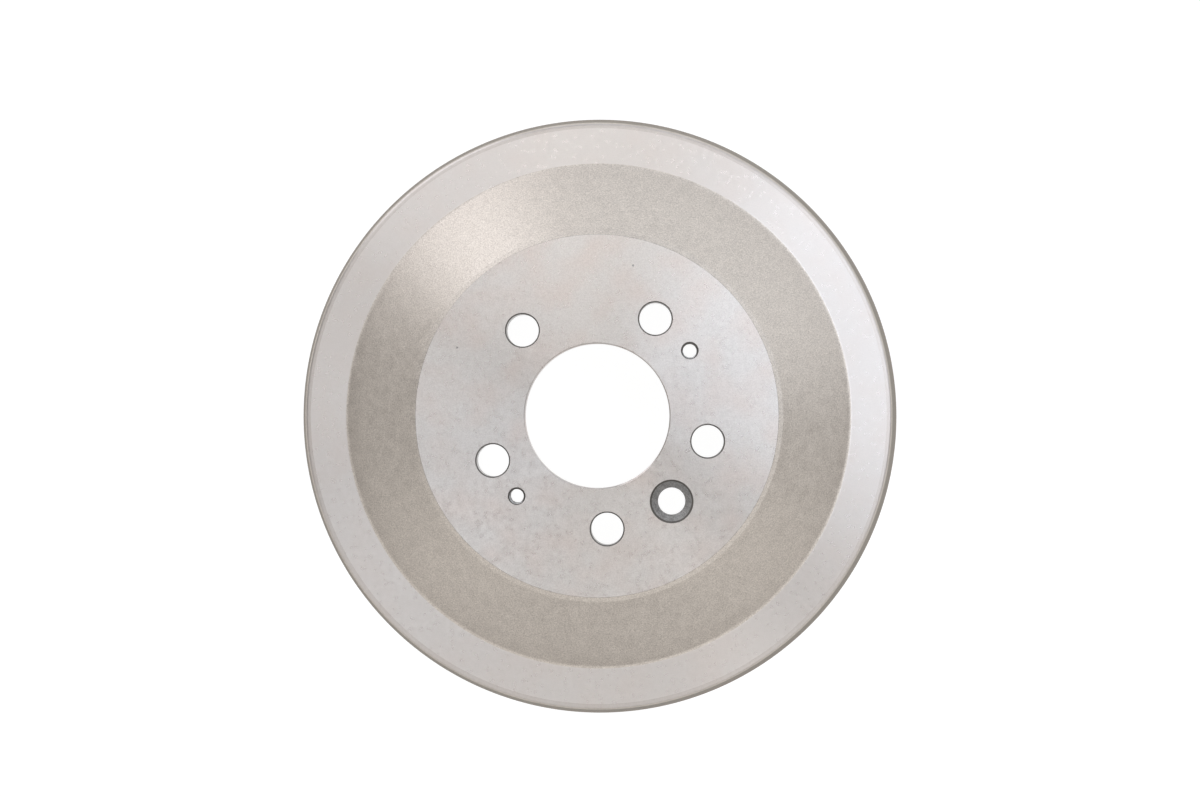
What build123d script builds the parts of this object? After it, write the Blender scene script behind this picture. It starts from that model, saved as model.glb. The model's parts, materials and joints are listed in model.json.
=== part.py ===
from build123d import *
from math import atan2, cos, radians, sin, tan
import os

# A brake drum: one iron casting, turned where it seats and where the shoes rub.
# It stands on its open rim with the wheel face up. Z is the drum's axis, z = 0 is the
# end face of the open rim, and all sizes are in millimetres.

# Rim: the ring that the shoes press against
drum_height = 90.0        # open rim to wheel face
brake_radius = 135.0      # rubbing surface
rim_wall = 18.5           # rubbing surface to outer wall, at the open rim
wall_draft = 1.0          # degrees, the taper that lets the casting leave its mould
rim_edge_break = 1.0      # outer corner of the open rim
lead_in_width = 1.5       # chamfer that guides the shoes in, across the wall
lead_in_height = 3.0      # and along the axis

# Groove in the open rim's end face, which the backing plate's edge runs in
groove_inset = 7.0        # rubbing surface to the groove
groove_width = 4.5        # at its mouth
groove_depth = 6.0
groove_draft = 6.0        # degrees, each side

# Relief at the inner end of the rubbing surface, where the turning tool runs out
relief_depth = 1.5
relief_width = 4.0

# Hub disc, clamped between the wheel and the axle flange
hub_radius = 89.6         # flat part of the wheel face
hub_thickness = 9.0
hub_edge_width = 1.8      # shallow turned edge between the flat and the cone
hub_edge_slope = 23.0     # degrees below the wheel face
seat_recess = 1.0         # the axle flange's seat is turned this far into the inside
seat_land = 9.9           # ring left as cast between that seat and the cone
hub_bore_radius = 35.75
hub_bore_break = 0.5

# Cone and shoulder band that join the hub disc to the rim, and the wall's spread below them
dish_depth = 25.0         # wheel face down to the shoulder band
cone_foot_inset = 8.0     # rubbing surface in to the foot of the cone
cone_wall = 8.5           # measured square to the cone
cone_foot_round = 3.5
shoulder_thickness = 10.0
shoulder_width = 2.6      # sloped edge of the flat band
shoulder_slope = 15.0     # degrees below the band
shoulder_break = 1.0      # corner between that edge and the wall
flare_width = 4.4         # the wall spreads by this much below the shoulder
flare_height = 18.0       # from the band down to the foot of that spread
flare_round = 12.0        # where that spread runs out into the drafted wall
web_top_round = 5.0       # inside, hub disc to cone
web_foot_round = 10.0     # inside, cone to shoulder

# Holes through the hub disc, all on one circle. Angles run anticlockwise from +X.
bolt_circle_radius = 56.0
bolt_count = 5
first_bolt_angle = -12.9
bolt_hole_radius = 8.0
bolt_hole_break = 0.65
jack_angles = (35.2, -135.1)
jack_hole_radius = 3.4    # tapping size of an M8 thread
jack_hole_break = 0.95
screw_hole_radius = 6.75
screw_sink_radius = 10.8
screw_lip_width = 0.9     # steep lip round the mouth of the countersink
screw_lip_depth = 1.6
drill_overrun = 1.0

# Heights of the faces
face_z = drum_height
seat_z = face_z - hub_thickness
seat_edge_z = seat_z - seat_recess
cone_top_z = face_z - hub_edge_width * tan(radians(hub_edge_slope))
band_z = face_z - dish_depth
underside_z = band_z - shoulder_thickness

# Radii that follow from the sizes above
rim_radius = brake_radius + rim_wall
cone_top_radius = hub_radius + hub_edge_width
cone_foot_radius = brake_radius - cone_foot_inset
groove_inner_radius = brake_radius + groove_inset
groove_outer_radius = groove_inner_radius + groove_width
groove_taper = groove_depth * tan(radians(groove_draft))
relief_radius = brake_radius + relief_depth

# The countersink's cone slopes at 45 degrees, so it is as deep as it is wide
screw_cone_radius = screw_sink_radius - screw_lip_width
screw_cone_end = screw_lip_depth + screw_cone_radius - screw_hole_radius

# The locating screw sits midway between the last bolt hole and the first
screw_angle = first_bolt_angle - 180.0 / bolt_count


def wall_radius(z):
    """Radius of the drafted outer wall at a height."""
    return rim_radius - z * tan(radians(wall_draft))


def inner_cone_radius(z):
    """Radius of the cone's inner face at a height, parallel to its outer face."""
    run = cone_foot_radius - cone_top_radius
    fall = cone_top_z - band_z
    angle = atan2(fall, run)
    start_radius = cone_top_radius - cone_wall * sin(angle)
    start_z = cone_top_z - cone_wall * cos(angle)
    return start_radius + (start_z - z) * run / fall


def drum_section():
    """Half section of the casting, with X as the radius and Y as the height."""
    flare_foot = (wall_radius(band_z - flare_height), band_z - flare_height)
    shoulder_radius = flare_foot[0] - flare_width
    shoulder_edge = (shoulder_radius, band_z - shoulder_width * tan(radians(shoulder_slope)))
    band_edge = (shoulder_radius - shoulder_width, band_z)
    bore_seat = (hub_bore_radius, seat_z)
    bore_face = (hub_bore_radius, face_z)
    cone_foot = (cone_foot_radius, band_z)
    rim_edge = (rim_radius, 0.0)
    relief_start = underside_z - relief_width
    web_foot = (inner_cone_radius(underside_z), underside_z)
    web_top = (inner_cone_radius(seat_edge_z), seat_edge_z)
    seat_radius = web_top[0] - seat_land

    outline = [
        bore_seat,
        bore_face,
        (hub_radius, face_z),
        (cone_top_radius, cone_top_z),
        cone_foot,
        band_edge,
        shoulder_edge,
        flare_foot,
        rim_edge,
        (groove_outer_radius, 0.0),
        (groove_outer_radius - groove_taper, groove_depth),
        (groove_inner_radius + groove_taper, groove_depth),
        (groove_inner_radius, 0.0),
        (brake_radius + lead_in_width, 0.0),
        (brake_radius, lead_in_height),
        (brake_radius, relief_start - relief_depth),
        (relief_radius, relief_start),
        (relief_radius, underside_z),
        web_foot,
        web_top,
        (seat_radius, seat_edge_z),
        (seat_radius, seat_z),
    ]
    rounds = [
        (cone_foot, cone_foot_round),
        (flare_foot, flare_round),
        (web_foot, web_foot_round),
        (web_top, web_top_round),
    ]
    breaks = [
        (bore_seat, hub_bore_break),
        (bore_face, hub_bore_break),
        (shoulder_edge, shoulder_break),
        (rim_edge, rim_edge_break),
    ]
    with BuildSketch() as section:
        with BuildLine():
            Polyline(*outline, close=True)
        make_face()
        for corner, radius in rounds:
            fillet(section.vertices().sort_by_distance(corner)[0], radius)
        for corner, length in breaks:
            chamfer(section.vertices().sort_by_distance(corner)[0], length)
    return section.sketch


def hole_cutter(angle, steps):
    """Cutter for one hole: steps of (radius, depth below the wheel face), mouth first."""
    mouth_radius = steps[0][0]
    hole_radius = steps[-1][0]
    top = face_z + drill_overrun
    bottom = seat_edge_z - drill_overrun
    wall = [(radius, face_z - depth) for radius, depth in steps]
    outline = [(0.0, bottom), (0.0, top), (mouth_radius, top), *wall, (hole_radius, bottom)]
    profile = Plane.XZ * make_face(Polyline(*outline, close=True))
    cutter = revolve(profile, Axis.Z)
    place = Rot(0, 0, angle) * Pos(bolt_circle_radius, 0, 0)
    return place * cutter


def brake_drum():
    """The whole casting: its turned section, less the holes in the hub disc."""
    drum = revolve(Plane.XZ * drum_section(), Axis.Z)

    bolt_steps = [(bolt_hole_radius + bolt_hole_break, 0.0), (bolt_hole_radius, bolt_hole_break)]
    for index in range(bolt_count):
        drum -= hole_cutter(first_bolt_angle + index * 360.0 / bolt_count, bolt_steps)

    jack_steps = [(jack_hole_radius + jack_hole_break, 0.0), (jack_hole_radius, jack_hole_break)]
    for angle in jack_angles:
        drum -= hole_cutter(angle, jack_steps)

    screw_steps = [
        (screw_sink_radius, 0.0),
        (screw_cone_radius, screw_lip_depth),
        (screw_hole_radius, screw_cone_end),
    ]
    drum -= hole_cutter(screw_angle, screw_steps)
    return drum


os.makedirs("parts", exist_ok=True)
export_step(brake_drum(), "parts/brake_drum.step")
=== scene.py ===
"""Looks of a one-piece brake drum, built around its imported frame.

The drum stands on its open rim with the wheel face up. Z is its axis, z = 0 is the end face of
the open rim, and every object is in metres. Sizes inside the classes are in millimetres.
"""

from __future__ import annotations

import json
import logging
import math
from dataclasses import dataclass
from enum import Enum
from typing import Any

import bpy
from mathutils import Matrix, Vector


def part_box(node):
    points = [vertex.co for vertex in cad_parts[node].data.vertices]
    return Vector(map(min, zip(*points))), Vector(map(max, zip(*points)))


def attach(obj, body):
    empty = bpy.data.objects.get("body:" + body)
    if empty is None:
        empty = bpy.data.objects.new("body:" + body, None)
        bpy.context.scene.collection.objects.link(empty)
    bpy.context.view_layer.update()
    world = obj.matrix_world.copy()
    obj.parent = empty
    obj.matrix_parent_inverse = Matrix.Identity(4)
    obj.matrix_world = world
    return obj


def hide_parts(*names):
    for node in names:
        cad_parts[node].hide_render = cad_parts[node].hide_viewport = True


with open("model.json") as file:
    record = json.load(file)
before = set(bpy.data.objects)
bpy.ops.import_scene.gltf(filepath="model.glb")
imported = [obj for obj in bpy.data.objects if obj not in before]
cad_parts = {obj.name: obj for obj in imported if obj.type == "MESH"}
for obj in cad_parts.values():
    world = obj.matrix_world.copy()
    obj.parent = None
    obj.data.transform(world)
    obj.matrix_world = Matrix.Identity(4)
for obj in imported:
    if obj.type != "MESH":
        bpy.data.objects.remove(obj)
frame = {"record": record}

Tree = bpy.types.NodeTree
Socket = bpy.types.NodeSocket
Material = bpy.types.Material
Thing = bpy.types.Object

LOG = logging.getLogger("brake_drum")
MM = 0.001
CAD_NODE = "brake_drum"
BODY = "root"
FINISH_ATTRIBUTE = "finish"
PATH_RADIUS = 100.0             # millimetres, circle that sections are swept round
MERGE_DISTANCE = 2.0e-6         # metres
LAMP_WATTS = math.pi            # for each square metre of a lamp's face at level 1
LIT_POINT = (0.0, 0.0, 0.09)    # metres, middle of the wheel face
IMAGE_WIDTH, IMAGE_HEIGHT = 1200.0, 797.0
ALONG_RADIUS = 0.25             # of a turn, as tool marks run round the axis
HALF_PITCH = 0.5                # a thread repeats itself in mirror image after half a pitch
THREAD_CREST = 0.125            # part of the pitch from a ridge's middle to its flank
THREAD_ROOT = 0.4375            # and to the groove's floor

# Sockets of a Mix and of a Compare node, which use one name for several kinds of value
MIX_FACTOR = 0
FLOAT_A, FLOAT_B = 2, 3
COLOUR_A, COLOUR_B = 6, 7
INT_A, INT_B = 2, 3


def linear(hex_colour: str) -> tuple[float, float, float, float]:
    """Turns an sRGB hex colour into linear light.

    Args:
        hex_colour: Colour as "#RRGGBB".

    Returns:
        Red, green, blue and an alpha of 1.
    """
    channels = [int(hex_colour[i:i + 2], 16) / 255.0 for i in (1, 3, 5)]
    light = [c / 12.92 if c <= 0.04045 else ((c + 0.055) / 1.055) ** 2.4 for c in channels]
    return (light[0], light[1], light[2], 1.0)


def add_node(tree: Tree, kind: str, inputs: dict[str | int, Any] | None = None,
             **settings: Any) -> bpy.types.Node:
    """Adds one node with its settings, values and links.

    Args:
        tree: Tree that gets the node.
        kind: Blender's type name of the node.
        inputs: Input sockets by name or index. An output socket is linked, anything else is set.
        settings: The node's own properties.

    Returns:
        The new node.
    """
    node = tree.nodes.new(kind)
    for name, value in settings.items():
        setattr(node, name, value)
    for key, value in (inputs or {}).items():
        if isinstance(value, Socket):
            tree.links.new(value, node.inputs[key])
        else:
            node.inputs[key].default_value = value
    return node


def from_axis(tree: Tree, place: Socket) -> tuple[Socket, Socket]:
    """Adds the nodes that measure a place from the Z axis.

    Args:
        tree: Tree that gets the nodes.
        place: Coordinates, in metres.

    Returns:
        The offset from the axis, and its length.
    """
    across = add_node(tree, "ShaderNodeVectorMath", {0: place, 1: (1.0, 1.0, 0.0)},
                      operation="MULTIPLY").outputs["Vector"]
    radius = add_node(tree, "ShaderNodeVectorMath", {0: across}, operation="LENGTH")
    return across, radius.outputs["Value"]


class Surface(Enum):
    """Faces of the drum, by the number that marks them on the mesh and picks their finish."""

    WHEEL_FACE = 0
    CONE = 1
    BAND = 2
    WALL = 3
    RIM_FACE = 4
    RUBBING = 5
    WEB = 6
    SEAT = 7
    BORE = 8
    DRILLED = 9
    MOUTH = 10
    SHOULDER = 11


def patches(tree: Tree, place: Socket, size_mm: float, low: float = 0.3,
            high: float = 0.7) -> Socket:
    """Adds an uneven pattern that runs from about 0 to 1.

    Args:
        tree: Tree that gets the nodes.
        place: Coordinates, in metres.
        size_mm: Size of one patch.
        low: Noise value that becomes 0.
        high: Noise value that becomes 1.

    Returns:
        The pattern's value.
    """
    noise = add_node(tree, "ShaderNodeTexNoise", {
        "Vector": place, "Scale": 1.0 / (size_mm * MM), "Detail": 1.0})
    spread = add_node(tree, "ShaderNodeMapRange", {
        "Value": noise.outputs["Fac"], "From Min": low, "From Max": high}, clamp=False)
    return spread.outputs["Result"]


@dataclass(frozen=True)
class Finish:
    """A metal surface in two tones that drift into each other.

    Attributes:
        name: The real material and how its surface was made.
        pale: Lighter tone.
        deep: Darker tone.
        roughness: Middle roughness.
        roughness_spread: How far the roughness drifts either way.
        drift_mm: Size of the slow patches.
        grain_mm: Size of the fine grain.
        grain_share: Part of the tone that follows the grain.
        bump: Strength of the relief.
        relief_mm: Height of the relief.
        anisotropy: How far tool marks stretch reflections across themselves.
        metallic: 1 for clean metal or a metal coat, less where oxide or dust dulls it.
    """

    name: str
    pale: str
    deep: str
    roughness: float
    roughness_spread: float = 0.03
    drift_mm: float = 6.0
    grain_mm: float = 0.8
    grain_share: float = 0.5
    bump: float = 0.15
    relief_mm: float = 0.05
    anisotropy: float = 0.0
    metallic: float = 1.0

    def material(self) -> Material:
        """Builds the material.

        Returns:
            The node material.
        """
        material = bpy.data.materials.new(self.name)
        material.use_nodes = True
        tree = material.node_tree
        tree.nodes.clear()
        place = add_node(tree, "ShaderNodeTexCoord").outputs["Object"]
        drift = patches(tree, place, self.drift_mm)
        grain = patches(tree, place, self.grain_mm)
        blend = add_node(tree, "ShaderNodeMix", {
            MIX_FACTOR: self.grain_share, FLOAT_A: drift, FLOAT_B: grain}, data_type="FLOAT")
        tone = add_node(tree, "ShaderNodeMix", {
            MIX_FACTOR: blend.outputs["Result"], COLOUR_A: linear(self.deep),
            COLOUR_B: linear(self.pale)}, data_type="RGBA")
        rough = add_node(tree, "ShaderNodeMapRange", {
            "Value": drift, "To Min": self.roughness - self.roughness_spread,
            "To Max": self.roughness + self.roughness_spread})
        bump = add_node(tree, "ShaderNodeBump", {
            "Height": self.relief(tree, place, grain), "Strength": self.bump,
            "Distance": self.relief_mm * MM})
        tangent = add_node(tree, "ShaderNodeTangent", direction_type="RADIAL", axis="Z")
        shader = add_node(tree, "ShaderNodeBsdfPrincipled", {
            "Base Color": self.marked(tree, place, tone.outputs["Result"]),
            "Metallic": self.metallic, "Roughness": rough.outputs["Result"],
            "Anisotropic": self.anisotropy, "Anisotropic Rotation": ALONG_RADIUS,
            "Tangent": tangent.outputs["Tangent"], "Normal": bump.outputs["Normal"]})
        add_node(tree, "ShaderNodeOutputMaterial", {"Surface": shader.outputs["BSDF"]})
        return material

    def relief(self, tree: Tree, place: Socket, grain: Socket) -> Socket:
        """Gives the height of the surface's relief, here the grain itself."""
        return grain

    def marked(self, tree: Tree, place: Socket, tone: Socket) -> Socket:
        """Gives the colour with its marks, here none."""
        return tone


@dataclass(frozen=True)
class TurnedMetal(Finish):
    """Metal turned on a lathe, bare or under a thin coat.

    The tool's rings pull reflections out along the radius, so light gathers in soft wedges.
    Handling leaves faint warm stains, and the metal is a little darker towards the bore.

    Attributes:
        ring_mm: Spacing of the rings. Real feed marks are near 0.2 mm, too fine to show.
        ring_share: Part of the relief that is rings, the rest being grain.
        stain_mm: Size of the stains.
        stain_start: Noise value at which a stain begins.
        stain: Tint of the stains.
        bore_tint: Tint of the metal round the bore.
        bore_mm: Radius at which that tint is full.
        bore_fade_mm: Radius at which it has faded out.
    """

    ring_mm: float = 0.9
    ring_share: float = 0.5
    stain_mm: float = 18.0
    stain_start: float = 0.4
    stain: str = "#FFFDFC"
    bore_tint: str = "#FFFFFF"
    bore_mm: float = 36.0
    bore_fade_mm: float = 78.0

    def relief(self, tree: Tree, place: Socket, grain: Socket) -> Socket:
        """Adds the tool's rings to the grain.

        Args:
            tree: Tree that gets the nodes.
            place: Coordinates, in metres.
            grain: Height of the grain.

        Returns:
            The height of both.
        """
        apart = add_node(tree, "ShaderNodeSeparateXYZ", {"Vector": place})
        _, radius = from_axis(tree, place)
        along = add_node(tree, "ShaderNodeMath", {0: radius, 1: apart.outputs["Z"]},
                         operation="ADD")
        rings = add_node(tree, "ShaderNodeTexNoise", {
            "W": along.outputs["Value"], "Scale": 1.0 / (self.ring_mm * MM), "Detail": 2.0},
            noise_dimensions="1D")
        height = add_node(tree, "ShaderNodeMix", {
            MIX_FACTOR: self.ring_share, FLOAT_A: grain, FLOAT_B: rings.outputs["Fac"]},
            data_type="FLOAT")
        return height.outputs["Result"]

    def marked(self, tree: Tree, place: Socket, tone: Socket) -> Socket:
        """Tints the stains and the metal round the bore.

        Args:
            tree: Tree that gets the nodes.
            place: Coordinates, in metres.
            tone: Colour of the clean surface.

        Returns:
            The colour with both tints.
        """
        where = patches(tree, place, self.stain_mm, low=self.stain_start)
        _, radius = from_axis(tree, place)
        near = add_node(tree, "ShaderNodeMapRange", {
            "Value": radius, "From Min": self.bore_mm * MM, "From Max": self.bore_fade_mm * MM,
            "To Min": 1.0, "To Max": 0.0}).outputs["Result"]
        for share, tint in ((where, self.stain), (near, self.bore_tint)):
            tone = add_node(tree, "ShaderNodeMix", {
                MIX_FACTOR: share, COLOUR_A: tone, COLOUR_B: linear(tint)},
                data_type="RGBA", blend_type="MULTIPLY").outputs["Result"]
        return tone


@dataclass(frozen=True)
class CastMetal(Finish):
    """Coated iron as it came out of the sand mould.

    Sand grain keeps it matt and speckled, with dark pin-pricks where the coat sank in.

    Attributes:
        prick_mm: Spacing of the pin-pricks.
        prick_reach: Part of that spacing from a pin-prick's middle to its edge.
        prick_share: How far its middle takes on its tone.
        prick_tone: Tone of the pin-pricks.
    """

    prick_mm: float = 1.3
    prick_reach: float = 0.16
    prick_share: float = 0.6
    prick_tone: str = "#8A8178"

    def marked(self, tree: Tree, place: Socket, tone: Socket) -> Socket:
        """Darkens the pin-pricks.

        Args:
            tree: Tree that gets the nodes.
            place: Coordinates, in metres.
            tone: Colour of the coat.

        Returns:
            The colour with its pin-pricks.
        """
        cells = add_node(tree, "ShaderNodeTexVoronoi", {
            "Vector": place, "Scale": 1.0 / (self.prick_mm * MM)})
        share = add_node(tree, "ShaderNodeMapRange", {
            "Value": cells.outputs["Distance"], "From Min": 0.0, "From Max": self.prick_reach,
            "To Min": self.prick_share, "To Max": 0.0})
        mix = add_node(tree, "ShaderNodeMix", {
            MIX_FACTOR: share.outputs["Result"], COLOUR_A: tone,
            COLOUR_B: linear(self.prick_tone)}, data_type="RGBA")
        return mix.outputs["Result"]


@dataclass(frozen=True)
class CastMetalShadedBelow(CastMetal):
    """Cast iron with painted shade down the outer wall, darker below the band, for the shadowed floor
    that the wall would reflect.

    Attributes:
        shade_start_mm: Height above which no shade is painted.
        shade_full_mm: Height below which the painted shade is full.
        lower_shade: Tint of the painted shade that darkens the wall below.
    """

    shade_start_mm: float = 65.2
    shade_full_mm: float = 60.5
    lower_shade: str = "#A5A19A"

    def marked(self, tree: Tree, place: Socket, tone: Socket) -> Socket:
        """Darkens the wall below the band with painted shade.

        Args:
            tree: Tree that gets the nodes.
            place: Coordinates, in metres.
            tone: Colour of the coat.

        Returns:
            The colour of the coat, with its painted shade below.
        """
        coat = super().marked(tree, place, tone)
        # Painted shade: the colour darkens from the band's height down the wall
        apart = add_node(tree, "ShaderNodeSeparateXYZ", {"Vector": place})
        shade_share = add_node(tree, "ShaderNodeMapRange", {
            "Value": apart.outputs["Z"], "From Min": self.shade_start_mm * MM,
            "From Max": self.shade_full_mm * MM}, interpolation_type="SMOOTHSTEP")
        lower_shade = add_node(tree, "ShaderNodeMix", {
            MIX_FACTOR: 1.0, COLOUR_A: tone, COLOUR_B: linear(self.lower_shade)},
            data_type="RGBA", blend_type="MULTIPLY")
        mix = add_node(tree, "ShaderNodeMix", {
            MIX_FACTOR: shade_share.outputs["Result"], COLOUR_A: coat,
            COLOUR_B: lower_shade.outputs["Result"]}, data_type="RGBA")
        return mix.outputs["Result"]


class DrumFinish(Enum):
    """The drum's finishes."""

    # Thin zinc-flake coat: pale and satin, with the tool's rings still stretching the light
    TURNED_COAT = TurnedMetal("zinc_flake_coat_on_turned_iron", "#E0DBD7", "#CEC8C4", 0.30,
                              drift_mm=2.6, grain_mm=0.55, grain_share=0.75, bump=0.02,
                              anisotropy=0.9, stain="#FFFAF8", bore_tint="#F8F8F8")
    # The same coat on the finely turned shoulder band: smoother and more even
    BAND_COAT = TurnedMetal("zinc_flake_coat_on_fine_turned_iron", "#DBD5D1", "#D5CFCB", 0.30,
                            drift_mm=2.6, grain_mm=0.55, grain_share=0.6, anisotropy=0.9,
                            bump=0.02)
    # The same coat on the band's sloped edge, which is turned more coarsely: a shade darker
    SHOULDER_COAT = TurnedMetal("zinc_flake_coat_on_rough_turned_iron", "#D0C9C4", "#C4BDB8", 0.34,
                                drift_mm=2.6, grain_mm=0.55, grain_share=0.6, anisotropy=0.8,
                                bump=0.05)
    # The same coat on cast skin: warmer, matt and speckled
    CAST_COAT = CastMetal("zinc_flake_coat_on_sand_cast_iron", "#E0D7CD", "#BBB2A9", 0.455,
                          drift_mm=5.0, grain_mm=0.6, grain_share=0.82, bump=0.3,
                          relief_mm=0.1)
    # The outer wall: dull grey cast iron, darkened from the band down as painted shade for the
    # shadowed floor it would reflect
    WALL_WITH_PAINTED_SHADE = CastMetalShadedBelow("sand_cast_iron_with_painted_shade_below", "#D9CFC4", "#BFB5AA", 0.62,
                                drift_mm=14.0, grain_mm=1.1, bump=0.35, relief_mm=0.15,
                                metallic=0.1)
    # Rubbed and seating faces that are left bare: darker and cooler, with finer rings
    TURNED_BARE = TurnedMetal("bare_fine_turned_grey_iron", "#AEADAB", "#9C9B99", 0.30,
                              drift_mm=8.0, grain_mm=0.6, anisotropy=0.7, ring_mm=0.6)
    # Bare walls left by drill and countersink: neutral grey, with torn grain
    DRILLED = Finish("bare_drilled_grey_iron", "#D6D4D2", "#999796", 0.40, drift_mm=2.6,
                     grain_mm=0.7, grain_share=0.7, bump=0.3)
    # Mouths of holes and pits and the step round the wheel face: dull and dark grey iron, darkened as
    # painted shade for the shadow in these steep edges and crevices
    MOUTH = Finish("grey_iron_edge_with_painted_shade", "#86827E", "#736F6B", 0.5, drift_mm=2.0,
                   grain_mm=0.5, bump=0.3)


DRESS = {
    Surface.WHEEL_FACE: DrumFinish.TURNED_COAT, Surface.CONE: DrumFinish.CAST_COAT,
    Surface.BAND: DrumFinish.BAND_COAT, Surface.WALL: DrumFinish.WALL_WITH_PAINTED_SHADE,
    Surface.RIM_FACE: DrumFinish.TURNED_COAT, Surface.RUBBING: DrumFinish.TURNED_BARE,
    Surface.WEB: DrumFinish.CAST_COAT, Surface.SEAT: DrumFinish.TURNED_BARE,
    Surface.BORE: DrumFinish.TURNED_COAT, Surface.DRILLED: DrumFinish.DRILLED,
    Surface.MOUTH: DrumFinish.MOUTH, Surface.SHOULDER: DrumFinish.SHOULDER_COAT}


@dataclass(frozen=True)
class Corner:
    """One corner of the section, in millimetres.

    Attributes:
        radius: Distance from the drum's axis.
        height: Height above the open rim.
        round: Radius that the corner is rounded to.
        surface: Face that leads from this corner to the next.
        share: Part of the rounding that keeps the finish of the face before.
    """

    radius: float
    height: float
    round: float
    surface: Surface
    share: float = 0.5


@dataclass
class DrumSection:
    """Half section of the casting, in millimetres and degrees.

    It follows the section of the solid that it replaces, with every edge slightly broken. Two
    edges depart from that by up to 0.6 mm, as the light on them shows: the wheel face ends in a
    small worn step, and the band's sloped edge is flatter and rounder.
    """

    height: float
    rim_radius: float
    bore_radius: float
    brake_radius: float
    edge: float = 0.15              # rounding of an edge that was broken by hand
    crisp_edge: float = 0.045       # of one that was left as turned
    soft_edge: float = 0.6          # of one in a corner or beside a fine face
    nose_round: float = 0.3         # that the turning tool's nose leaves
    bore_break: float = 0.5
    hub_radius: float = 89.6        # flat part of the wheel face
    hub_thickness: float = 9.0
    hub_edge_width: float = 1.8     # shallow edge between the flat and the cone
    hub_edge_slope: float = 23.0
    hub_step_width: float = 0.1     # worn step round the flat
    hub_step_height: float = 0.2
    dish_depth: float = 25.0        # wheel face down to the band
    cone_top_shift: float = 0.6     # how far out wear has moved the cone's top
    cone_top_round: float = 2.0
    cone_foot_inset: float = 8.0
    cone_foot_round: float = 3.5
    cone_foot_share: float = 0.8    # part of that rounding that is left as cast
    cone_wall: float = 8.5
    shoulder_thickness: float = 10.0
    shoulder_width: float = 2.6     # sloped edge of the band
    shoulder_slope: float = 3.0
    shoulder_round: float = 1.8
    flare_width: float = 4.4        # spread of the wall below the band
    flare_height: float = 18.0
    flare_round: float = 12.0
    wall_draft: float = 1.0
    rim_break: float = 1.0
    groove_inset: float = 7.0       # groove in the rim's end face
    groove_width: float = 4.5
    groove_depth: float = 6.0
    groove_draft: float = 6.0
    lead_in_width: float = 1.5      # chamfer that guides the shoes in
    lead_in_height: float = 3.0
    relief_depth: float = 1.5       # run-out of the turning tool
    relief_width: float = 4.0
    web_foot_round: float = 10.0
    web_top_round: float = 5.0
    seat_recess: float = 1.0        # seat of the axle flange
    seat_land: float = 9.9
    arc_step: float = 7.5           # largest turn between two points of a rounding
    support_share: float = 0.3      # distance to the points that keep the next face flat,
    support_least: float = 0.02     # as a part of the rounding's reach and in millimetres

    def corners(self) -> list[Corner]:
        """Lists the section's corners, from the bore's foot over the wheel face and back inside.

        Returns:
            Corners in order, the last joining the first.
        """
        face = self.height
        seat = face - self.hub_thickness
        land = seat - self.seat_recess
        band = face - self.dish_depth
        under = band - self.shoulder_thickness
        cone_top = (self.hub_radius + self.hub_edge_width,
                    face - self.hub_edge_width * math.tan(math.radians(self.hub_edge_slope)))
        foot = self.brake_radius - self.cone_foot_inset
        run, fall = foot - cone_top[0], cone_top[1] - band
        tilt = math.atan2(fall, run)
        inner_top = (cone_top[0] - self.cone_wall * math.sin(tilt),
                     cone_top[1] - self.cone_wall * math.cos(tilt))
        web_foot = inner_top[0] + (inner_top[1] - under) * run / fall
        web_top = inner_top[0] + (inner_top[1] - land) * run / fall
        drop = self.shoulder_width * math.tan(math.radians(self.shoulder_slope))
        flare = band - self.flare_height
        flare_foot = (self.rim_radius
                      - (flare - self.rim_break) * math.tan(math.radians(self.wall_draft)))
        shoulder = flare_foot - self.flare_width
        groove_in = self.brake_radius + self.groove_inset
        groove_out = groove_in + self.groove_width
        taper = self.groove_depth * math.tan(math.radians(self.groove_draft))
        relief = self.brake_radius + self.relief_depth
        run_out = under - self.relief_width
        edge, bore, cut, shift = self.edge, self.bore_radius, self.bore_break, self.cone_top_shift
        return [
            Corner(bore + cut, seat, edge, Surface.BORE),
            Corner(bore, seat + cut, edge, Surface.BORE),
            Corner(bore, face - cut, edge, Surface.BORE),
            Corner(bore + cut, face, edge, Surface.WHEEL_FACE),
            # The step round the flat takes the dark mouth finish: painted shade for the crevice there
            Corner(self.hub_radius, face, self.crisp_edge, Surface.MOUTH),
            Corner(self.hub_radius + self.hub_step_width, face - self.hub_step_height,
                   self.crisp_edge, Surface.CONE),
            Corner(cone_top[0] + shift, cone_top[1] - shift * fall / run, self.cone_top_round,
                   Surface.CONE),
            Corner(foot, band, self.cone_foot_round, Surface.BAND, share=self.cone_foot_share),
            Corner(shoulder - self.shoulder_width, band, self.soft_edge, Surface.SHOULDER),
            Corner(shoulder, band - drop, self.shoulder_round, Surface.WALL),
            Corner(flare_foot, flare, self.flare_round, Surface.WALL),
            Corner(self.rim_radius, self.rim_break, edge, Surface.WALL),
            Corner(self.rim_radius - self.rim_break, 0.0, edge, Surface.RIM_FACE),
            Corner(groove_out, 0.0, edge, Surface.RIM_FACE),
            Corner(groove_out - taper, self.groove_depth, self.soft_edge, Surface.RIM_FACE),
            Corner(groove_in + taper, self.groove_depth, self.soft_edge, Surface.RIM_FACE),
            Corner(groove_in, 0.0, edge, Surface.RIM_FACE),
            Corner(self.brake_radius + self.lead_in_width, 0.0, edge, Surface.RUBBING),
            Corner(self.brake_radius, self.lead_in_height, edge, Surface.RUBBING),
            Corner(self.brake_radius, run_out - self.relief_depth, edge, Surface.RUBBING),
            Corner(relief, run_out, self.nose_round, Surface.RUBBING),
            Corner(relief, under, self.soft_edge, Surface.WEB),
            Corner(web_foot, under, self.web_foot_round, Surface.WEB),
            Corner(web_top, land, self.web_top_round, Surface.WEB),
            Corner(web_top - self.seat_land, land, edge, Surface.SEAT),
            Corner(web_top - self.seat_land, seat, edge, Surface.SEAT),
        ]

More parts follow.
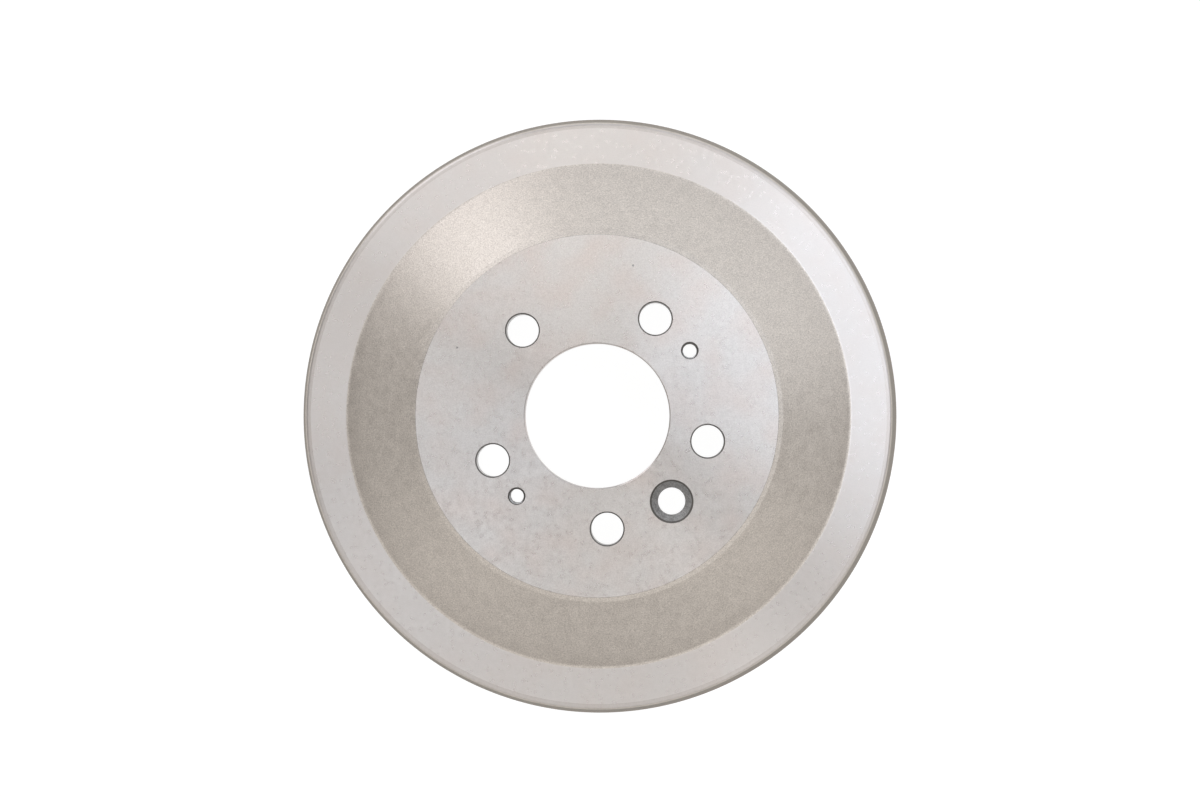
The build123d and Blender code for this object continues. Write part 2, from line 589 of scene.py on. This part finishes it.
    def outline(self) -> list[tuple[float, float, int]]:
        """Rounds the corners and lists the section's points.

        Where the finish changes there are two points in one place, so each face of the swept
        mesh lies between points of one finish. The last point repeats the first.

        Returns:
            Radius, height and finish number of each point.
        """
        corners = self.corners()
        count = len(corners)
        points: list[tuple[float, float, int]] = []
        for index, corner in enumerate(corners):
            here = Vector((corner.radius, corner.height))
            before = corners[index - 1]
            after = corners[(index + 1) % count]
            back = (Vector((before.radius, before.height)) - here).normalized()
            ahead = (Vector((after.radius, after.height)) - here).normalized()
            turn = math.pi - back.angle(ahead)
            reach = corner.round * math.tan(turn / 2.0)
            centre = here + (back + ahead).normalized() * corner.round / math.cos(turn / 2.0)
            first = here + back * reach - centre
            sweep = turn if back.x * ahead.y - back.y * ahead.x > 0.0 else -turn
            steps = max(2, math.ceil(math.degrees(turn) / self.arc_step))
            arc = []
            for step in range(steps + 1):
                angle = -sweep * step / steps
                cos, sin = math.cos(angle), math.sin(angle)
                spot = centre + Vector((first.x * cos - first.y * sin, first.x * sin + first.y * cos))
                arc.append(spot)
            beyond = reach + self.support_share * reach + self.support_least
            stations = [here + back * beyond, *arc, here + ahead * beyond]
            change = 1 + round(corner.share * steps)
            for number, spot in enumerate(stations):
                if number <= change:
                    points.append((spot.x, spot.y, before.surface.value))
                if number >= change:
                    points.append((spot.x, spot.y, corner.surface.value))
        points.append(points[0])
        return points


def sized_tree(name: str, sizes: dict[str, str]) -> tuple[Tree, dict[str, Socket]]:
    """Starts a Geometry Nodes tree with a geometry input and named inputs for its sizes.

    Args:
        name: Name of the tree.
        sizes: Socket type of each further input, by name.

    Returns:
        The tree, and its inputs' sockets by name.
    """
    tree = bpy.data.node_groups.new(name, "GeometryNodeTree")
    for label, kind in {"Geometry": "NodeSocketGeometry", **sizes}.items():
        tree.interface.new_socket(name=label, in_out="INPUT", socket_type=kind)
    tree.interface.new_socket(name="Geometry", in_out="OUTPUT", socket_type="NodeSocketGeometry")
    start = add_node(tree, "NodeGroupInput")
    return tree, {socket.name: socket for socket in start.outputs if socket.name}


def shape(holder: Thing, tree: Tree, sizes: dict[str, Any]) -> None:
    """Runs a Geometry Nodes tree on an object and leaves its result there as a plain mesh.

    Args:
        holder: Object whose mesh the tree starts from.
        tree: The tree.
        sizes: Values of the tree's inputs, by name.
    """
    modifier = holder.modifiers.new("shape", "NODES")
    modifier.node_group = tree
    for item in tree.interface.items_tree:
        if item.in_out == "INPUT" and item.name in sizes:
            modifier[item.identifier] = sizes[item.name]
    graph = bpy.context.evaluated_depsgraph_get()
    mesh = bpy.data.meshes.new_from_object(holder.evaluated_get(graph))
    holder.modifiers.remove(modifier)
    holder.data = mesh


def section_wire(name: str, points: list[tuple[float, float, int]]) -> Thing:
    """Makes a section's line as a mesh of edges, laid out for a sweep round a circle.

    Args:
        name: Name of the object.
        points: Radius, height and finish number of each point, in millimetres.

    Returns:
        The object with the line.
    """
    mesh = bpy.data.meshes.new(name)
    mesh.from_pydata([((r - PATH_RADIUS) * MM, -z * MM, 0.0) for r, z, _ in points],
                     [(i, i + 1) for i in range(len(points) - 1)], [])
    finish = mesh.attributes.new(FINISH_ATTRIBUTE, "INT", "POINT")
    finish.data.foreach_set("value", [number for _, _, number in points])
    wire = bpy.data.objects.new(name, mesh)
    bpy.context.scene.collection.objects.link(wire)
    return wire


def swept(tree: Tree, wire: Socket, sides: Socket) -> Socket:
    """Adds the nodes that turn a section's line into a closed body of revolution.

    Args:
        tree: Tree that gets the nodes.
        wire: Geometry of the line.
        sides: Number of points round the axis.

    Returns:
        The body's geometry, with its finish numbers stored on the faces.
    """
    line = add_node(tree, "GeometryNodeMeshToCurve", {"Mesh": wire})
    path = add_node(tree, "GeometryNodeCurvePrimitiveCircle", {
        "Resolution": sides, "Radius": PATH_RADIUS * MM})
    sweep = add_node(tree, "GeometryNodeCurveToMesh", {
        "Curve": path.outputs["Curve"], "Profile Curve": line.outputs["Curve"]})
    number = add_node(tree, "GeometryNodeInputNamedAttribute", {"Name": FINISH_ATTRIBUTE},
                      data_type="INT")
    store = add_node(tree, "GeometryNodeStoreNamedAttribute", {
        "Geometry": sweep.outputs["Mesh"], "Name": FINISH_ATTRIBUTE,
        "Value": number.outputs["Attribute"]}, data_type="INT", domain="FACE")
    merge = add_node(tree, "GeometryNodeMergeByDistance", {
        "Geometry": store.outputs["Geometry"], "Distance": MERGE_DISTANCE})
    return merge.outputs["Geometry"]


@dataclass
class Hole:
    """One kind of hole through the hub disc, in millimetres.

    Attributes:
        name: What the hole is for.
        centres: Places of the holes' axes across the wheel face.
        steps: Radius and depth below the wheel face of each step, mouth first.
        thread_pitch: Pitch of the thread in it.
        thread_depth: Height of the thread's ridges, 0 in a plain hole.
        overrun: How far the cutter reaches past the faces.
        wall_step: Spacing of the points down the wall.
        sides: Number of points round the hole.
        depth: Depth of a blind hole, 0 for one that goes through.
    """

    name: str
    centres: list[tuple[float, float]]
    steps: list[tuple[float, float]]
    thread_pitch: float = 1.0
    thread_depth: float = 0.0
    overrun: float = 1.0
    wall_step: float = 10.0
    sides: int = 64
    depth: float = 0.0

    @staticmethod
    def tree() -> Tree:
        """Builds the tree that revolves a hole's profile, threads it and repeats it.

        Returns:
            The tree.
        """
        tree, size = sized_tree("stepped_hole_cutters", {
            "Profile": "NodeSocketObject", "Sides": "NodeSocketInt",
            "Minor Radius": "NodeSocketFloat", "Thread Pitch": "NodeSocketFloat",
            "Thread Depth": "NodeSocketFloat", "Material": "NodeSocketMaterial"})
        wire = add_node(tree, "GeometryNodeObjectInfo", {"Object": size["Profile"]})
        body = swept(tree, wire.outputs["Geometry"], size["Sides"])
        place = add_node(tree, "GeometryNodeInputPosition").outputs["Position"]
        apart = add_node(tree, "ShaderNodeSeparateXYZ", {"Vector": place})
        across, radius = from_axis(tree, place)
        turn = add_node(tree, "ShaderNodeMath", {
            0: apart.outputs["Y"], 1: apart.outputs["X"]}, operation="ARCTAN2")
        lead = add_node(tree, "ShaderNodeMath", {
            0: turn.outputs["Value"], 1: 2.0 * math.pi}, operation="DIVIDE")
        climb = add_node(tree, "ShaderNodeMath", {
            0: apart.outputs["Z"], 1: size["Thread Pitch"]}, operation="DIVIDE")
        helix = add_node(tree, "ShaderNodeMath", {
            0: climb.outputs["Value"], 1: lead.outputs["Value"]}, operation="SUBTRACT")
        wave = add_node(tree, "ShaderNodeMath", {
            0: helix.outputs["Value"], 1: HALF_PITCH}, operation="PINGPONG")
        flank = add_node(tree, "ShaderNodeMapRange", {
            "Value": wave.outputs["Value"], "From Min": THREAD_CREST,
            "From Max": THREAD_ROOT, "To Min": 0.0, "To Max": size["Thread Depth"]})
        target = add_node(tree, "ShaderNodeMath", {
            0: size["Minor Radius"], 1: flank.outputs["Result"]}, operation="ADD")
        grown = add_node(tree, "ShaderNodeMath", {
            0: radius, 1: target.outputs["Value"]}, operation="MAXIMUM")
        ratio = add_node(tree, "ShaderNodeMath", {
            0: grown.outputs["Value"], 1: radius}, operation="DIVIDE")
        widened = add_node(tree, "ShaderNodeVectorMath", {
            0: across, "Scale": ratio.outputs["Value"]}, operation="SCALE")
        lift = add_node(tree, "ShaderNodeCombineXYZ", {"Z": apart.outputs["Z"]})
        threaded = add_node(tree, "ShaderNodeVectorMath", {
            0: widened.outputs["Vector"], 1: lift.outputs["Vector"]}, operation="ADD")
        off_axis = add_node(tree, "FunctionNodeCompare", {0: radius, 1: MERGE_DISTANCE},
                            data_type="FLOAT", operation="GREATER_THAN")
        cutter = add_node(tree, "GeometryNodeSetPosition", {
            "Geometry": body, "Selection": off_axis.outputs["Result"],
            "Position": threaded.outputs["Vector"]})
        repeat = add_node(tree, "GeometryNodeInstanceOnPoints", {
            "Points": size["Geometry"], "Instance": cutter.outputs["Geometry"]})
        real = add_node(tree, "GeometryNodeRealizeInstances", {
            "Geometry": repeat.outputs["Instances"]})
        dressed = add_node(tree, "GeometryNodeSetMaterial", {
            "Geometry": real.outputs["Geometry"], "Material": size["Material"]})
        add_node(tree, "NodeGroupOutput", {"Geometry": dressed.outputs["Geometry"]})
        return tree

    def cutters(self, tree: Tree, face: float, back: float, material: Material) -> Thing:
        """Builds the cutters of this kind, one at each centre.

        Args:
            tree: The tree that makes cutters.
            face: Height of the wheel face.
            back: Height of the face on the other side of the disc.
            material: Finish that the cutters leave.

        Returns:
            One object with all the cutters.
        """
        top = face + self.overrun
        bottom = face - self.depth if self.depth else back - self.overrun
        steps = [(radius, face - depth) for radius, depth in self.steps]
        minor, start = steps[-1]
        spans = math.ceil((start - bottom) / self.wall_step)
        wall = [*steps[1:], *((minor, start + (bottom - start) * (i + 1) / spans)
                              for i in range(spans)), (0.0, bottom)]
        mouth = [(0.0, top), (steps[0][0], top), *steps[:2]]
        # Each hole's mouth, down to its first step, takes the dark mouth finish: painted shade
        wire = section_wire(f"{self.name}_profile", [
            *((r, z, Surface.MOUTH.value) for r, z in mouth),
            *((r, z, Surface.DRILLED.value) for r, z in wall)])
        mesh = bpy.data.meshes.new(f"{self.name}_centres")
        mesh.from_pydata([(x * MM, y * MM, 0.0) for x, y in self.centres], [], [])
        holder = bpy.data.objects.new(f"{self.name}_cutters", mesh)
        bpy.context.scene.collection.objects.link(holder)
        shape(holder, tree, {
            "Profile": wire, "Sides": self.sides, "Minor Radius": minor * MM,
            "Thread Pitch": self.thread_pitch * MM, "Thread Depth": self.thread_depth * MM,
            "Material": material})
        bpy.data.objects.remove(wire)
        return holder


@dataclass
class DrumCasting:
    """The drum itself: one casting, swept from its section and drilled.

    Attributes:
        section: Its half section.
        holes: The kinds of hole in its hub disc.
        sides: Number of points round the axis.
        smooth_below: Largest angle, in degrees, that is shaded as a smooth bend.
    """

    section: DrumSection
    holes: list[Hole]
    sides: int = 288
    smooth_below: float = 28.0

    @staticmethod
    def tree(cutter_count: int, dress: dict[Surface, Material]) -> Tree:
        """Builds the tree that sweeps the section, drills it and gives each face its finish.

        Args:
            cutter_count: Number of cutter objects.
            dress: Material of each face of the section.

        Returns:
            The tree.
        """
        labels = [f"Cutters {number + 1}" for number in range(cutter_count)]
        tree, size = sized_tree("turned_and_drilled_casting", {
            "Sides": "NodeSocketInt", **{label: "NodeSocketObject" for label in labels}})
        body = swept(tree, size["Geometry"], size["Sides"])
        drill = add_node(tree, "GeometryNodeMeshBoolean", {"Mesh 1": body},
                         operation="DIFFERENCE", solver="EXACT")
        for label in labels:
            cutter = add_node(tree, "GeometryNodeObjectInfo", {"Object": size[label]})
            tree.links.new(cutter.outputs["Geometry"], drill.inputs["Mesh 2"])
        real = add_node(tree, "GeometryNodeRealizeInstances", {
            "Geometry": drill.outputs["Mesh"]})
        number = add_node(tree, "GeometryNodeInputNamedAttribute", {"Name": FINISH_ATTRIBUTE},
                          data_type="INT")
        geometry = real.outputs["Geometry"]
        for surface, material in dress.items():
            chosen = add_node(tree, "FunctionNodeCompare", {
                INT_A: number.outputs["Attribute"], INT_B: surface.value},
                data_type="INT", operation="EQUAL")
            dressed = add_node(tree, "GeometryNodeSetMaterial", {
                "Geometry": geometry, "Selection": chosen.outputs["Result"],
                "Material": material})
            geometry = dressed.outputs["Geometry"]
        add_node(tree, "NodeGroupOutput", {"Geometry": geometry})
        return tree

    def build(self, dress: dict[Surface, Material]) -> Thing:
        """Builds the casting's mesh in its place, dressed.

        Args:
            dress: Material of each face.

        Returns:
            The drum.
        """
        section = self.section
        hole_tree = Hole.tree()
        back = section.height - section.hub_thickness - section.seat_recess
        cutters = [hole.cutters(hole_tree, section.height, back, dress[Surface.DRILLED])
                   for hole in self.holes]
        drum = section_wire("coated_brake_drum", section.outline())
        tree = self.tree(len(cutters), dress)
        shape(drum, tree, {"Sides": self.sides, **{
            f"Cutters {number + 1}": cutter for number, cutter in enumerate(cutters)}})
        for cutter in cutters:
            bpy.data.objects.remove(cutter)
        drum.data.shade_smooth()
        drum.data.set_sharp_from_angle(angle=math.radians(self.smooth_below))
        return drum


@dataclass(frozen=True)
class Softbox:
    """One large studio lamp, aimed at the drum.

    Attributes:
        name: Where it hangs.
        azimuth: Direction from the drum, in degrees anticlockwise from +X.
        elevation: Height of that direction above the floor, in degrees.
        width: Size across, in degrees as the drum sees it.
        height: Size up and down, in degrees.
        level: Brightness of its face, where 1 is white.
        colour: Colour of its light.
        distance: How far away it hangs, in metres.
    """

    name: str
    azimuth: float
    elevation: float
    width: float
    height: float
    level: float
    colour: str = "#FFFFFF"
    distance: float = 1.2

    def build(self) -> None:
        """Hangs the lamp."""
        lamp = bpy.data.lights.new(self.name, "AREA")
        lamp.shape = "RECTANGLE"
        lamp.size = 2.0 * self.distance * math.tan(math.radians(self.width / 2.0))
        lamp.size_y = 2.0 * self.distance * math.tan(math.radians(self.height / 2.0))
        lamp.energy = LAMP_WATTS * self.level * lamp.size * lamp.size_y
        lamp.color = linear(self.colour)[:3]
        azimuth, elevation = math.radians(self.azimuth), math.radians(self.elevation)
        away = Vector((math.cos(elevation) * math.cos(azimuth),
                       math.cos(elevation) * math.sin(azimuth), math.sin(elevation)))
        holder = bpy.data.objects.new(self.name, lamp)
        holder.location = Vector(LIT_POINT) + away * self.distance
        holder.rotation_euler = away.to_track_quat("Z", "Y").to_euler()
        holder.visible_camera = False
        bpy.context.scene.collection.objects.link(holder)


@dataclass
class Studio:
    """Pale floor, soft light and the camera that looks down at the wheel face."""

    softboxes: tuple[Softbox, ...]
    floor_size: float = 60.0        # metres
    floor_colour: str = "#F2F1EF"
    floor_glow: float = 0.95        # what the camera sees of the floor in full shadow
    floor_share: float = 0.16       # and how much of the light on it is added
    horizon_level: float = 0.95     # the room's light low down, where 1 is white
    wall_level: float = 0.485
    ceiling_level: float = 0.414
    wall_start: float = 0.05        # sine of the elevation at which the walls begin to show
    wall_full: float = 0.12         # and where they are all that shows
    ceiling_start: float = 0.50
    ceiling_full: float = 0.95
    camera_x: float = 35.5          # millimetres
    camera_y: float = -2.8
    camera_height: float = 1090.0
    camera_reach: float = 200.0     # metres, past the far edge of the floor
    lens: float = 60.81
    sensor: float = 36.0
    aim_x: float = 669.0            # pixel below the camera, in a frame of 1200 by 797
    aim_y: float = 421.6

    def build(self) -> None:
        """Sets up the whole studio."""
        self.floor()
        self.room()
        self.camera()
        for softbox in self.softboxes:
            softbox.build()
        bpy.context.scene.view_settings.view_transform = "Standard"

    def floor(self) -> None:
        """Lays the floor. It shows near white to the eye and in metal, and keeps a shadow."""
        half = self.floor_size / 2.0
        mesh = bpy.data.meshes.new("studio_floor")
        mesh.from_pydata([(-half, -half, 0.0), (half, -half, 0.0), (half, half, 0.0),
                          (-half, half, 0.0)], [], [(0, 1, 2, 3)])
        floor = bpy.data.objects.new("studio_floor", mesh)
        bpy.context.scene.collection.objects.link(floor)
        material = bpy.data.materials.new("matt_painted_floor")
        material.use_nodes = True
        tree = material.node_tree
        tree.nodes.clear()
        paint = add_node(tree, "ShaderNodeBsdfDiffuse", {"Color": linear(self.floor_colour)})
        glow = add_node(tree, "ShaderNodeEmission", {"Strength": self.floor_glow})
        share = add_node(tree, "ShaderNodeBsdfDiffuse", {
            "Color": (self.floor_share, self.floor_share, self.floor_share, 1.0)})
        shown = add_node(tree, "ShaderNodeAddShader", {
            0: glow.outputs["Emission"], 1: share.outputs["BSDF"]})
        path = add_node(tree, "ShaderNodeLightPath")
        seen = add_node(tree, "ShaderNodeMath", {
            0: path.outputs["Is Camera Ray"], 1: path.outputs["Is Glossy Ray"]},
            operation="MAXIMUM")
        seen = add_node(tree, "ShaderNodeMath", {
            0: seen.outputs["Value"], 1: path.outputs["Is Transmission Ray"]},
            operation="MAXIMUM")
        mix = add_node(tree, "ShaderNodeMixShader", {
            "Fac": seen.outputs["Value"], 1: paint.outputs["BSDF"], 2: shown.outputs["Shader"]})
        add_node(tree, "ShaderNodeOutputMaterial", {"Surface": mix.outputs["Shader"]})
        mesh.materials.append(material)

    def room(self) -> None:
        """Surrounds the set with an evenly lit room, white where its walls meet the floor."""
        world = bpy.data.worlds.new("studio_room")
        bpy.context.scene.world = world
        world.use_nodes = True
        tree = world.node_tree
        tree.nodes.clear()
        way = add_node(tree, "ShaderNodeTexCoord").outputs["Generated"]
        apart = add_node(tree, "ShaderNodeSeparateXYZ", {"Vector": way})
        walls = add_node(tree, "ShaderNodeMapRange", {
            "Value": apart.outputs["Z"], "From Min": self.wall_start, "From Max": self.wall_full,
            "To Min": self.horizon_level, "To Max": self.wall_level},
            interpolation_type="SMOOTHSTEP")
        ceiling = add_node(tree, "ShaderNodeMapRange", {
            "Value": apart.outputs["Z"], "From Min": self.ceiling_start,
            "From Max": self.ceiling_full, "To Max": self.ceiling_level - self.wall_level},
            interpolation_type="SMOOTHSTEP")
        level = add_node(tree, "ShaderNodeMath", {
            0: walls.outputs["Result"], 1: ceiling.outputs["Result"]}, operation="ADD")
        light = add_node(tree, "ShaderNodeBackground", {"Strength": level.outputs["Value"]})
        add_node(tree, "ShaderNodeOutputWorld", {"Surface": light.outputs["Background"]})

    def camera(self) -> None:
        """Hangs the camera straight above, beside the drum's axis."""
        camera = bpy.data.cameras.new("photo_camera")
        camera.sensor_width = self.sensor
        camera.lens = self.lens
        camera.shift_x = (IMAGE_WIDTH / 2.0 - self.aim_x) / IMAGE_WIDTH
        camera.shift_y = (self.aim_y - IMAGE_HEIGHT / 2.0) / IMAGE_WIDTH
        camera.clip_end = self.camera_reach
        holder = bpy.data.objects.new("photo_camera", camera)
        holder.location = (self.camera_x * MM, self.camera_y * MM, self.camera_height * MM)
        bpy.context.scene.collection.objects.link(holder)
        bpy.context.scene.camera = holder


@dataclass(frozen=True)
class HoleCuts:
    """Sizes of the holes that the record doesn't give, in millimetres."""

    bolt_break: float = 0.65        # chamfer round a bolt hole
    jack_break: float = 0.95        # and round a jacking hole
    thread_pitch: float = 1.25
    thread_depth: float = 0.6
    thread_step: float = 0.125      # spacing of the points down the thread
    sink_radius: float = 10.8       # countersink's mouth
    sink_lip_width: float = 0.9     # steep lip round it
    sink_lip_depth: float = 1.6
    pit_centres: tuple[tuple[float, float], ...] = ((17.8, 74.2), (-69.1, 33.7))
    pit_mouth: float = 0.5          # radius of a flaw in the wheel face
    pit_floor: float = 0.3
    pit_slope_depth: float = 0.15
    pit_depth: float = 0.25
    pit_sides: int = 16

    def bolt_steps(self, hole: float) -> list[tuple[float, float]]:
        """Gives the steps of a bolt hole of a radius."""
        return [(hole + self.bolt_break, 0.0), (hole, self.bolt_break)]

    def jack_steps(self, hole: float) -> list[tuple[float, float]]:
        """Gives the steps of a jacking hole of a radius."""
        return [(hole + self.jack_break, 0.0), (hole, self.jack_break)]

    def screw_steps(self, hole: float) -> list[tuple[float, float]]:
        """Gives the steps of the locating hole, whose cone is as deep as it is wide.

        Args:
            hole: Radius of the hole below the countersink.

        Returns:
            Radius and depth of each step, mouth first.
        """
        cone = self.sink_radius - self.sink_lip_width
        return [(self.sink_radius, 0.0), (cone, self.sink_lip_depth),
                (hole, self.sink_lip_depth + cone - hole)]

    def pit_steps(self) -> list[tuple[float, float]]:
        """Gives the steps of a pit."""
        return [(self.pit_mouth, 0.0), (self.pit_floor, self.pit_slope_depth)]


def drum_from_record(record: dict[str, Any]) -> DrumCasting:
    """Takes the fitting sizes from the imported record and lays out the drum.

    Args:
        record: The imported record.

    Returns:
        The drum, ready to build.
    """
    mounts = {mount["name"]: mount for mount in record["mounts"]}
    size = {name: mount["dims"] for name, mount in mounts.items()}
    low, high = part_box(CAD_NODE)
    section = DrumSection(
        height=(high.z - low.z) / MM, rim_radius=min(-low.x, -low.y, high.x, high.y) / MM,
        bore_radius=size["hub_bore"]["r_mm"], brake_radius=size["brake_surface"]["r_mm"])
    screw = tuple(mounts["locating_screw_hole"]["pos_m"][axis] / MM for axis in (0, 1))
    jacks = [tuple(mounts[name]["pos_m"][axis] / MM for axis in (0, 1))
             for name in ("jack_hole_a", "jack_hole_b")]
    bolts = size["wheel_bolts"]
    pitch = 2.0 * math.pi / bolts["count"]
    first = math.atan2(screw[1], screw[0]) + pitch / 2.0
    circle = bolts["pcd_mm"] / 2.0
    bolt_centres = [(circle * math.cos(first + pitch * i), circle * math.sin(first + pitch * i))
                    for i in range(bolts["count"])]
    cuts = HoleCuts()
    return DrumCasting(section, [
        Hole("bolt_hole", bolt_centres, cuts.bolt_steps(bolts["hole_r_mm"])),
        Hole("jack_hole", jacks, cuts.jack_steps(size["jack_hole_a"]["r_mm"]),
             thread_pitch=cuts.thread_pitch, thread_depth=cuts.thread_depth,
             wall_step=cuts.thread_step),
        Hole("screw_hole", [screw], cuts.screw_steps(size["locating_screw_hole"]["r_mm"])),
        Hole("casting_pit", list(cuts.pit_centres), cuts.pit_steps(), sides=cuts.pit_sides,
             depth=cuts.pit_depth),
    ])


def main() -> None:
    """Builds the drum and the studio round it."""
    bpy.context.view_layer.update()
    ready = {finish: finish.value.material() for finish in DrumFinish}
    dress = {surface: ready[finish] for surface, finish in DRESS.items()}
    drum = drum_from_record(frame["record"]).build(dress)
    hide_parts(CAD_NODE)
    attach(drum, BODY)
    LOG.info("%s: %d faces, %d materials", drum.name, len(drum.data.polygons),
             len(drum.data.materials))
    Studio((
        Softbox("key_softbox", 21.4, 64.0, 36.0, 32.5, 2.0, "#ECF4FF", distance=1.1),
        Softbox("upper_left_softbox", 126.5, 24.6, 32.4, 52.0, 1.48, "#F4F7FF"),
        Softbox("upper_right_softbox", 55.7, 25.4, 92.0, 39.0, 0.785, "#ECF4FF"),
        Softbox("lower_fill", -89.0, 51.3, 111.5, 56.0, 0.59),
        Softbox("left_fill", 153.0, 69.0, 30.0, 27.5, 0.71),
        Softbox("top_fill", 91.4, 70.5, 15.7, 26.0, 1.11),
        Softbox("lower_right_strip", -61.4, 54.5, 8.2, 34.0, 0.40),
    )).build()


if __name__ == "__main__":
    logging.basicConfig(level=logging.INFO, format="%(name)s: %(message)s")
    main()
